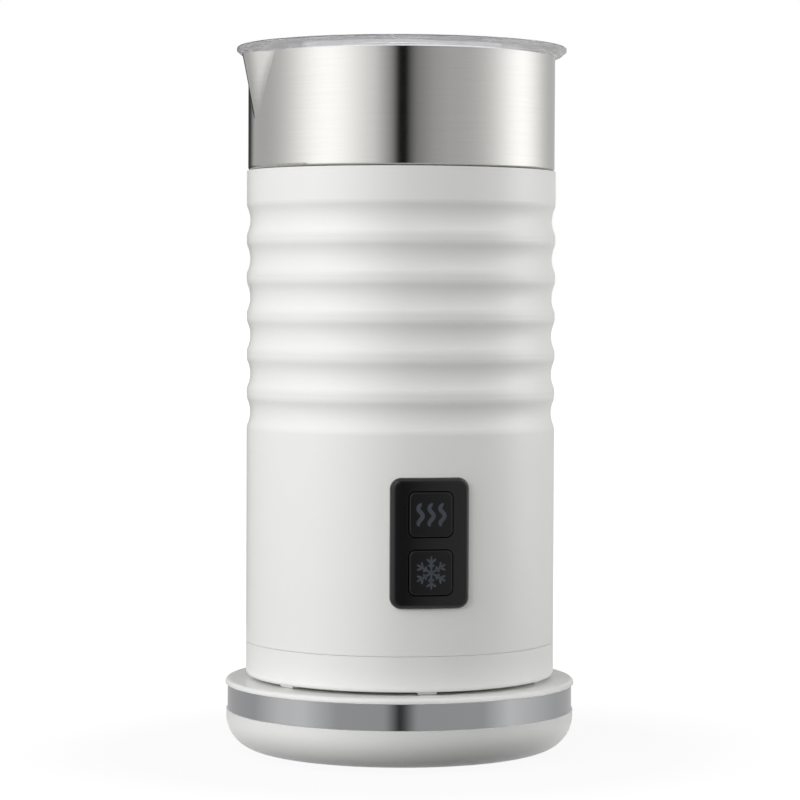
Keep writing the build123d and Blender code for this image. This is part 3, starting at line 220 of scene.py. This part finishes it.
# Chassis and magnet carrier: injection mouldings in glass-filled nylon, off-white and dull.
# The chassis is screwed up to the diffuser plate, and the carrier sits on the motor's shaft. Short
# fibres cloud the surface, drawn as streaks of 1 mm, coarser than the real ones, so that they show.
fibre_streak = 1 * mm
nylon, tree = finish("glass_filled_nylon")
place = node(tree, "TexCoord").outputs["Object"]
fibres = node(tree, "TexNoise", {
    "Vector": place, "Scale": 1 / fibre_streak, "Detail": 4.0, "Distortion": 1.0})
nylon_tone = node(tree, "MixRGB", {
    "Fac": fibres.outputs["Fac"], "Color1": linear("#D8D6CE"), "Color2": linear("#C7C5BC")})
skin = node(tree, "BsdfPrincipled", {"Base Color": nylon_tone.outputs["Color"], "Roughness": 0.6})
node(tree, "OutputMaterial", {"Surface": skin.outputs["BSDF"]})
dress(nylon, "chassis", "magnet_carrier")

# Magnets: discs of pressed and ground ferrite, let into the carrier and into the whisk's hub.
# They are dark grey and dull. The grinding marks are drawn at 0.6 mm, coarser than the real ones,
# so that they show.
grinding_mark = 0.6 * mm
ferrite, tree = finish("ground_ferrite")
place = node(tree, "TexCoord").outputs["Object"]
grinding = node(tree, "TexNoise", {"Vector": place, "Scale": 1 / grinding_mark, "Detail": 3.0})
ferrite_tone = node(tree, "MixRGB", {
    "Fac": grinding.outputs["Fac"], "Color1": linear("#3C3C3E"), "Color2": linear("#525255")})
skin = node(tree, "BsdfPrincipled", {"Base Color": ferrite_tone.outputs["Color"], "Roughness": 0.55})
node(tree, "OutputMaterial", {"Surface": skin.outputs["BSDF"]})
dress(ferrite, "drive_magnets", "whisk_magnets")

# Circuit boards: glass laminate under green solder resist, cut to shape and screwed or clipped in.
# The resist is glossy, and the glass cloth shows through it as a faint weave, drawn with about three
# threads to 4 mm, coarser than the real cloth, so that it shows.
weave_span = 4 * mm
laminate, tree = finish("green_solder_resist")
place = node(tree, "TexCoord").outputs["Object"]
weave = node(tree, "TexWave", {"Vector": place, "Scale": 1 / weave_span, "Distortion": 2.0})
resist_tone = node(tree, "MixRGB", {
    "Fac": weave.outputs["Fac"], "Color1": linear("#1C5A34"), "Color2": linear("#24683E")})
skin = node(tree, "BsdfPrincipled", {"Base Color": resist_tone.outputs["Color"], "Roughness": 0.3})
node(tree, "OutputMaterial", {"Surface": skin.outputs["BSDF"]})
dress(laminate, "power_board", "switch_board")

# Relay and capacitor: small boxed components in moulded dark blue plastic, soldered to the power board.
# Their cases have a soft gloss and a speckle of about 0.8 mm.
speckle_size = 0.8 * mm
component, tree = finish("dark_blue_casing")
place = node(tree, "TexCoord").outputs["Object"]
speckle = node(tree, "TexNoise", {"Vector": place, "Scale": 1 / speckle_size, "Detail": 3.0})
casing_tone = node(tree, "MixRGB", {
    "Fac": speckle.outputs["Fac"], "Color1": linear("#20304F"), "Color2": linear("#2A3B5E")})
skin = node(tree, "BsdfPrincipled", {"Base Color": casing_tone.outputs["Color"], "Roughness": 0.4})
node(tree, "OutputMaterial", {"Surface": skin.outputs["BSDF"]})
dress(component, "relay", "filter_capacitor")

# Seals: moulded silicone rings, one under the sleeve's top edge and one stretched round the lid's plug.
# Silicone is milky, with a soft sheen and slow clouds of about 4 mm.
milk_cloud = 4 * mm
silicone, tree = finish("milky_silicone")
place = node(tree, "TexCoord").outputs["Object"]
milk = node(tree, "TexNoise", {"Vector": place, "Scale": 1 / milk_cloud, "Detail": 2.0})
milk_tone = node(tree, "MixRGB", {
    "Fac": milk.outputs["Fac"], "Color1": linear("#DADAD6"), "Color2": linear("#E6E6E2")})
skin = node(tree, "BsdfPrincipled", {"Base Color": milk_tone.outputs["Color"], "Roughness": 0.45})
node(tree, "OutputMaterial", {"Surface": skin.outputs["BSDF"]})
dress(silicone, "sleeve_seal", "lid_seal")

# Button panel: a black ABS bezel with rolled edges, clipped through the sleeve's window.
# Its skin is satin, so the rounded edges catch a grey line of light.
# The mould's grain of about 0.1 mm is drawn coarser, so that it shows.
bezel_grit = 0.4 * mm
bezel_depth = 0.1 * mm
black_abs, tree = finish("satin_black_abs")
place = node(tree, "TexCoord").outputs["Object"]
grain = node(tree, "TexNoise", {"Vector": place, "Scale": 1 / bezel_grit, "Detail": 3.0})
grain_bump = node(tree, "Bump", {"Height": grain.outputs["Fac"], "Strength": 0.08, "Distance": bezel_depth})
black_gloss = node(tree, "MapRange", {"Value": grain.outputs["Fac"], "To Min": 0.2, "To Max": 0.28})
skin = node(tree, "BsdfPrincipled", {
    "Base Color": linear("#101012"), "Roughness": black_gloss.outputs["Result"], "Specular IOR Level": 0.4,
    "Normal": grain_bump.outputs["Normal"]})
node(tree, "OutputMaterial", {"Surface": skin.outputs["BSDF"]})
dress(black_abs, "panel_bezel")

# Buttons: black ABS keycaps a shade lighter than the bezel, which slide in its windows onto the switches.
# Their faces are a little duller than the bezel, so the signs can be read.
# The mould's grain of about 0.1 mm is drawn coarser, so that it shows.
cap_grit = 0.5 * mm
cap_depth = 0.1 * mm
keycap, tree = finish("satin_black_keycap")
place = node(tree, "TexCoord").outputs["Object"]
touch = node(tree, "TexNoise", {"Vector": place, "Scale": 1 / cap_grit, "Detail": 3.0})
touch_bump = node(tree, "Bump", {"Height": touch.outputs["Fac"], "Strength": 0.1, "Distance": cap_depth})
touch_gloss = node(tree, "MapRange", {"Value": touch.outputs["Fac"], "To Min": 0.28, "To Max": 0.38})
skin = node(tree, "BsdfPrincipled", {
    "Base Color": linear("#131315"), "Roughness": touch_gloss.outputs["Result"], "Specular IOR Level": 0.28,
    "Normal": touch_bump.outputs["Normal"]})
node(tree, "OutputMaterial", {"Surface": skin.outputs["BSDF"]})
dress(keycap, "hot_button", "cold_button")

# Printed signs: grey ink laid on the keycaps by a soft pad, three waves of steam and a snowflake.
# Each stroke is a film a few hundredths of a millimetre thick that follows the curve of the cap.
# The ink is dull, and rubbed a little unevenly in spots of about 1.8 mm.
film = 0.04 * mm
rub_size = 1.8 * mm
stroke_steps = 32
stroke_end_squareness = 6
stroke_end_width = 0.02

ink, tree = finish("grey_pad_print")
place = node(tree, "TexCoord").outputs["Object"]
rub = node(tree, "TexNoise", {"Vector": place, "Scale": 1 / rub_size, "Detail": 4.0})
ink_tone = node(tree, "MixRGB", {
    "Fac": rub.outputs["Fac"], "Color1": linear("#2C2E36"), "Color2": linear("#484F5A")})
skin = node(tree, "BsdfPrincipled", {"Base Color": ink_tone.outputs["Color"], "Roughness": 0.5})
node(tree, "OutputMaterial", {"Surface": skin.outputs["BSDF"]})


def ink_stroke(line, width):
    bpy.ops.mesh.primitive_grid_add(x_subdivisions=stroke_steps, y_subdivisions=2, size=1.0)
    stroke = bpy.context.object
    nearby = 0.01
    for vertex in stroke.data.vertices:
        along = vertex.co.x + 0.5
        ahead = (line(along + nearby) - line(along - nearby)).normalized()
        fullness = 1 - abs(2 * along - 1) ** stroke_end_squareness
        round_end = max(fullness, stroke_end_width) ** 0.5
        spot = line(along) + Vector((-ahead.y, ahead.x)) * vertex.co.y * width * round_end
        vertex.co = (spot.x, 0.0, spot.y)
    return stroke


def joined(strokes):
    bpy.ops.object.select_all(action="DESELECT")
    for stroke in strokes:
        stroke.select_set(True)
    bpy.context.view_layer.objects.active = strokes[0]
    bpy.ops.object.join()
    return strokes[0]


def copy_of(stroke, turn, shift):
    bpy.ops.object.select_all(action="DESELECT")
    stroke.select_set(True)
    bpy.context.view_layer.objects.active = stroke
    bpy.ops.object.duplicate()
    twin = bpy.context.object
    twin.rotation_euler.y = turn
    twin.location.x = shift
    return twin


def press_on_cap(name, strokes, button):
    low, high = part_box(button)
    cap_radius = -low.y
    middle = (low.z + high.z) / 2
    sign = joined(strokes)
    bpy.ops.object.transform_apply(location=True, rotation=True, scale=True)
    sign.name = name
    for vertex in sign.data.vertices:
        vertex.co.y = -math.sqrt(cap_radius ** 2 - vertex.co.x ** 2)
        vertex.co.z += middle
    thicken = sign.modifiers.new("film", "SOLIDIFY")
    thicken.thickness = film
    thicken.offset = 1.0
    bpy.ops.object.modifier_apply(modifier="film")
    sign.data.materials.append(ink)
    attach(sign, button)


wave_height = 6.4 * mm
wave_swing = 0.62 * mm
wave_spacing = 3.1 * mm
wave_width = 1.18 * mm
waves_per_stroke = 1.5
wave_start = 0.83
wave = ink_stroke(
    lambda t: Vector((
        wave_swing * math.cos(2 * math.pi * (waves_per_stroke * t - wave_start)),
        wave_height * (0.5 - t))),
    wave_width)
press_on_cap(
    "steam_sign", [copy_of(wave, 0.0, -wave_spacing), copy_of(wave, 0.0, wave_spacing), wave], "hot_button")

arm_count = 6
arm_length = 4.7 * mm
arm_width = 0.62 * mm
branch_lean = math.radians(50)
branch_roots_and_lengths = ((1.6 * mm, 1.1 * mm), (2.8 * mm, 1.7 * mm))
strokes = [ink_stroke(lambda t: Vector((0.0, arm_length * t)), arm_width)]
for branch_root, branch_length in branch_roots_and_lengths:
    for side in (-1, 1):
        tip = Vector((side * math.sin(branch_lean), math.cos(branch_lean))) * branch_length
        strokes.append(ink_stroke(lambda t: Vector((0.0, branch_root)) + tip * t, arm_width))
arm = joined(strokes)
turned_arms = [copy_of(arm, math.radians(360 / arm_count * i), 0.0) for i in range(1, arm_count)]
press_on_cap("snowflake_sign", turned_arms + [arm], "cold_button")

# Whisk hub: food-grade black polypropylene, moulded round its magnets, and loose on the spindle.
# The plastic is waxy, with flow marks of about 3 mm.
flow_mark = 3 * mm
polypropylene, tree = finish("black_polypropylene")
place = node(tree, "TexCoord").outputs["Object"]
flow = node(tree, "TexNoise", {"Vector": place, "Scale": 1 / flow_mark, "Detail": 3.0})
flow_tone = node(tree, "MixRGB", {
    "Fac": flow.outputs["Fac"], "Color1": linear("#1E1E20"), "Color2": linear("#29292B")})
skin = node(tree, "BsdfPrincipled", {"Base Color": flow_tone.outputs["Color"], "Roughness": 0.45})
node(tree, "OutputMaterial", {"Surface": skin.outputs["BSDF"]})
dress(polypropylene, "whisk_hub")

# Lid: clear styrene acrylonitrile, moulded in one piece with its finger knob, and pushed into the cup.
# Its polished faces, with a moulding ripple of 20 mm, bend the backdrop and the steel below. They bend
# it less than solid styrene would, so that the thick flange stays as light as thin clear plastic.
ripple_size = 20 * mm
ripple_depth = 0.2 * mm
clear_san, tree = finish("clear_styrene_plastic")
place = node(tree, "TexCoord").outputs["Object"]
ripple = node(tree, "TexNoise", {"Vector": place, "Scale": 1 / ripple_size, "Detail": 1.0})
ripple_bump = node(tree, "Bump", {
    "Height": ripple.outputs["Fac"], "Strength": 0.03, "Distance": ripple_depth})
skin = node(tree, "BsdfPrincipled", {
    "Base Color": linear("#FAFAFF"), "Transmission Weight": 1.0, "Alpha": 0.72, "IOR": 1.36,
    "Roughness": 0.02, "Normal": ripple_bump.outputs["Normal"]})
node(tree, "OutputMaterial", {"Surface": skin.outputs["BSDF"]})
dress(clear_san, "lid")

# Camera: it stands a little left of the panel and above the jug's middle, and looks slightly down.
# The studio's lights are placed by the way it faces.
view_turn = math.radians(10.7)
view_distance = 0.873
view_height = 0.1323
view_drop = math.radians(1.95)
view_roll = math.radians(-0.22)
view_pan = math.radians(0.017)
toward_camera = Vector((-math.sin(view_turn), -math.cos(view_turn), 0.0))
image_right = Vector((math.cos(view_turn), -math.sin(view_turn), 0.0))

camera_data = bpy.data.cameras.new("camera")
camera_data.sensor_width = 36.0
camera_data.lens = 134.3
camera = bpy.data.objects.new("camera", camera_data)
camera.location = toward_camera * view_distance + Vector((0.0, 0.0, view_height))
camera.rotation_euler = (math.radians(90) - view_drop, view_roll, view_pan - view_turn)
bpy.context.scene.collection.objects.link(camera)
bpy.context.scene.camera = camera

# Floor: a sheet of white paper, which the lens, metal and glass see as the white ground.
# Near the object its colour is painted darker, a painted shade that fades out further away. It gives
# back less light there, so the underside of the base is darker and a soft shadow stays.
floor_size = 400.0
floor_white = 0.93
shade_reach = 0.08
open_reach = 0.28


def background_rays(tree):
    path = node(tree, "LightPath")
    mirrored = node(tree, "Math", {0: path.outputs["Is Camera Ray"], 1: path.outputs["Is Glossy Ray"]},
                    operation="ADD")
    seen = node(tree, "Math", {0: mirrored.outputs["Value"], 1: path.outputs["Is Transmission Ray"]},
                operation="ADD", use_clamp=True)
    return seen.outputs["Value"]


bpy.ops.mesh.primitive_plane_add(size=floor_size, location=(0.0, 0.0, 0.0))
floor = bpy.context.object
floor.name = "floor"
paper, tree = finish("white_paper_floor")
floor_glow = node(tree, "Math", {0: background_rays(tree), 1: floor_white}, operation="MULTIPLY")
glow = node(tree, "Emission", {"Color": linear("#FFFFFF"), "Strength": floor_glow.outputs["Value"]})
place = node(tree, "TexCoord").outputs["Object"]
reach = node(tree, "VectorMath", {0: place}, operation="LENGTH")
painted_shade_fade = node(tree, "MapRange", {
    "Value": reach.outputs["Value"], "From Min": shade_reach, "From Max": open_reach})
# Painted shade: the floor's colour is darker near the object and fades to the open colour between the two
# reaches.
painted_floor_shade = node(tree, "MixRGB", {
    "Fac": painted_shade_fade.outputs["Result"], "Color1": linear("#404040"), "Color2": linear("#B8B8B8")})
dull = node(tree, "BsdfDiffuse", {"Color": painted_floor_shade.outputs["Color"]})
both = node(tree, "AddShader", {0: dull.outputs["BSDF"], 1: glow.outputs["Emission"]})
node(tree, "OutputMaterial", {"Surface": both.outputs["Shader"]})
floor.data.materials.append(paper)

# Studio: a dim room with a broad soft light on the left, a slim one on the right and a faint one above.
# The backdrop is white. The side that the camera stands on is dark when seen through the lid, which
# draws a dark line along its upper edge. Its edge and core are cosines of the turn from the camera.
room_fill = 0.03
left_light = (-50, 8, 4.1, 5.0)
right_light = (103, 6, 9.6, 20.0)
top_light = (-20, 80, 0.3, 4.0)
dark_side_level = 0.02
dark_side_edge = 0.5
dark_side_core = 0.85


def studio_direction(turn, rise):
    flat = toward_camera * math.cos(math.radians(turn)) + image_right * math.sin(math.radians(turn))
    return flat * math.cos(math.radians(rise)) + Vector((0.0, 0.0, math.sin(math.radians(rise))))


# A light is given by its turn from the camera and its rise, in degrees, its strength and its tightness.
def soft_lights(tree, direction, level, lights):
    for turn, rise, strength, tightness in lights:
        facing = node(tree, "VectorMath", {0: direction, 1: studio_direction(turn, rise)},
                      operation="DOT_PRODUCT")
        falloff = node(tree, "Math", {0: facing.outputs["Value"], 1: tightness, 2: -tightness},
                       operation="MULTIPLY_ADD")
        lobe = node(tree, "Math", {0: falloff.outputs["Value"]}, operation="EXPONENT")
        level = node(tree, "Math", {0: lobe.outputs["Value"], 1: strength, 2: level},
                     operation="MULTIPLY_ADD").outputs["Value"]
    return level


world = bpy.data.worlds.new("studio")
bpy.context.scene.world = world
world.use_nodes = True
tree = world.node_tree
tree.nodes.clear()
direction = node(tree, "TexCoord").outputs["Generated"]
room = soft_lights(tree, direction, room_fill, (left_light, right_light, top_light))
lensward = node(tree, "VectorMath", {0: direction, 1: toward_camera}, operation="DOT_PRODUCT")
dark_side = node(tree, "MapRange", {
    "Value": lensward.outputs["Value"], "From Min": dark_side_edge, "From Max": dark_side_core,
    "To Min": 1.0, "To Max": dark_side_level})
through_lid = node(tree, "LightPath").outputs["Is Transmission Ray"]
backdrop = node(tree, "Mix", {
    "Factor": through_lid, "A": 1.0, "B": dark_side.outputs["Result"]}, data_type="FLOAT")
level = node(tree, "Mix", {
    "Factor": background_rays(tree), "A": room, "B": backdrop.outputs["Result"]}, data_type="FLOAT")
air = node(tree, "Background", {"Color": linear("#FFFFFF"), "Strength": level.outputs["Result"]})
node(tree, "OutputWorld", {"Surface": air.outputs["Background"]})
bpy.context.scene.view_settings.view_transform = "Standard"

# Light tent: a cone of grey cloth round the object, lit through from both sides, slit for the lens.
# A hoop of cloth hems it close to the base. Only reflections show them, so polished metal has the
# stripes that a product photograph gives it. Shades go by the turn from the lens in degrees.
tent_foot_radius = 0.125
tent_top_radius = 0.6
tent_height = 0.9
tent_cloth_level = 0.53
skirt_height = 0.12
skirt_level = 0.32
crown_start = 0.25
crown_full = 0.42
crown_level = 1.1
tent_lamps = ((-52, 0, 1.02, 6.4), (92, 0, 0.98, 8.7))
slit_shades = (
    (-146, 0.1), (-133, 1.0), (-18, 1.0), (-11.6, 0.77), (-6.2, 0.49), (-1.7, 0.0), (3.3, 0.0),
    (5.0, 0.17), (10, 0.5), (21, 0.84), (32, 1.0), (160, 1.0), (172, 0.1))
slit_back_shade = 0.1
hem_radius = 0.08
hem_height = 0.03
hem_shades = (
    (-80, 0.5), (-60, 0.82), (-46, 0.86), (-28, 0.49), (-6.5, 0.47), (-2.0, 0.17), (0.3, 0.03),
    (3.0, 0.15), (8.0, 0.47), (39, 0.49), (54, 0.86), (92, 0.54))
hem_back_shade = 0.5
cloth_sides = 96


def shade_round(tree, place, back_shade, shades):
    to_lens = node(tree, "Mapping", {"Vector": place, "Rotation": (0.0, 0.0, view_turn + math.radians(90))})
    around = node(tree, "TexGradient", {"Vector": to_lens.outputs["Vector"]}, gradient_type="RADIAL")
    ramp = node(tree, "ValToRGB", {"Fac": around.outputs["Fac"]})
    for end in ramp.color_ramp.elements:
        end.color = (back_shade, back_shade, back_shade, 1.0)
    for turn, shade in shades:
        ramp.color_ramp.elements.new(0.5 + turn / 360).color = (shade, shade, shade, 1.0)
    return ramp.outputs["Color"]


def hang_cloth(piece, name, material):
    piece.name = name
    bpy.ops.object.transform_apply(location=True, rotation=True, scale=True)
    piece.data.materials.append(material)
    piece.visible_camera = False
    piece.visible_diffuse = False
    piece.visible_transmission = False
    piece.visible_shadow = False


bpy.ops.mesh.primitive_cone_add(
    vertices=cloth_sides, radius1=tent_foot_radius, radius2=tent_top_radius, depth=tent_height,
    end_fill_type="NOTHING", location=(0.0, 0.0, tent_height / 2))
cloth, tree = finish("grey_tent_cloth")
place = node(tree, "TexCoord").outputs["Object"]
flat_place = node(tree, "VectorMath", {0: place, 1: (1.0, 1.0, 0.0)}, operation="MULTIPLY")
outward = node(tree, "VectorMath", {0: flat_place.outputs["Vector"]}, operation="NORMALIZE")
lit = soft_lights(tree, outward.outputs["Vector"], 0.0, tent_lamps)
height = node(tree, "SeparateXYZ", {"Vector": place})
rise = node(tree, "MapRange", {
    "Value": height.outputs["Z"], "From Min": 0.0, "From Max": skirt_height,
    "To Min": skirt_level, "To Max": 1.0})
crown = node(tree, "MapRange", {
    "Value": height.outputs["Z"], "From Min": crown_start, "From Max": crown_full,
    "To Min": 0.0, "To Max": crown_level})
lamp_level = node(tree, "Math", {0: rise.outputs["Result"], 1: crown.outputs["Result"]}, operation="ADD")
tent_level = node(tree, "Math", {0: lit, 1: lamp_level.outputs["Value"], 2: tent_cloth_level},
                  operation="MULTIPLY_ADD")
slit = shade_round(tree, place, slit_back_shade, slit_shades)
tent_shade = node(tree, "Math", {0: tent_level.outputs["Value"], 1: slit}, operation="MULTIPLY")
glow = node(tree, "Emission", {"Color": linear("#FFFFFF"), "Strength": tent_shade.outputs["Value"]})
node(tree, "OutputMaterial", {"Surface": glow.outputs["Emission"]})
hang_cloth(bpy.context.object, "light_tent", cloth)

bpy.ops.mesh.primitive_cylinder_add(
    vertices=cloth_sides, radius=hem_radius, depth=hem_height, end_fill_type="NOTHING",
    location=(0.0, 0.0, hem_height / 2))
hem_cloth, tree = finish("grey_hem_cloth")
place = node(tree, "TexCoord").outputs["Object"]
panels = shade_round(tree, place, hem_back_shade, hem_shades)
glow = node(tree, "Emission", {"Color": panels, "Strength": 1.0})
node(tree, "OutputMaterial", {"Surface": glow.outputs["Emission"]})
hang_cloth(bpy.context.object, "tent_hem", hem_cloth)
